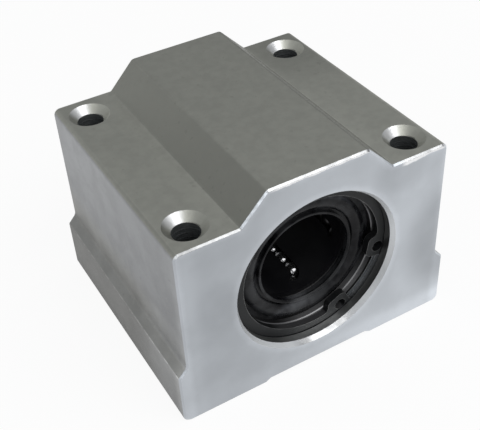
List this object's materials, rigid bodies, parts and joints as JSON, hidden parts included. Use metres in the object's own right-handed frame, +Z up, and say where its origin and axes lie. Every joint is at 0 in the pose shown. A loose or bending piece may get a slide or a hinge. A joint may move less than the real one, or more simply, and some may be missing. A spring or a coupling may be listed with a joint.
{
  "type": "linear bearing block",
  "caption": "Aluminium pillow block with a stepped top, tapped corner holes and a caged recirculating-ball bushing held in its bore by circlips, for a round shaft.",
  "frame": {"origin": "centre of the underside, between the two feet of the block", "axes": "+Y along the shaft bore from the front end to the rear end, +Z up, +X across the block"},
  "size_m": [0.05, 0.044, 0.0385],
  "materials": {
    "housing": "bead-blasted",
    "bearing_steel": "ground",
    "ball_steel": "polished",
    "cage_resin": "moulded",
    "seal_rubber": "moulded satin",
    "spring_steel": "phosphated"
  },
  "bodies": {
    "root": {"housing": "housing", "bearing_sleeve": "bearing_steel", "ball_cage": "cage_resin", "ball_circuit_1": "ball_steel", "ball_circuit_2": "ball_steel", "ball_circuit_3": "ball_steel", "ball_circuit_4": "ball_steel", "ball_circuit_5": "ball_steel", "cage_ring_front": "bearing_steel", "shaft_seal_front": "seal_rubber", "circlip_front": "spring_steel", "cage_ring_rear": "bearing_steel", "shaft_seal_rear": "seal_rubber", "circlip_rear": "spring_steel"}
  },
  "joints": []
}
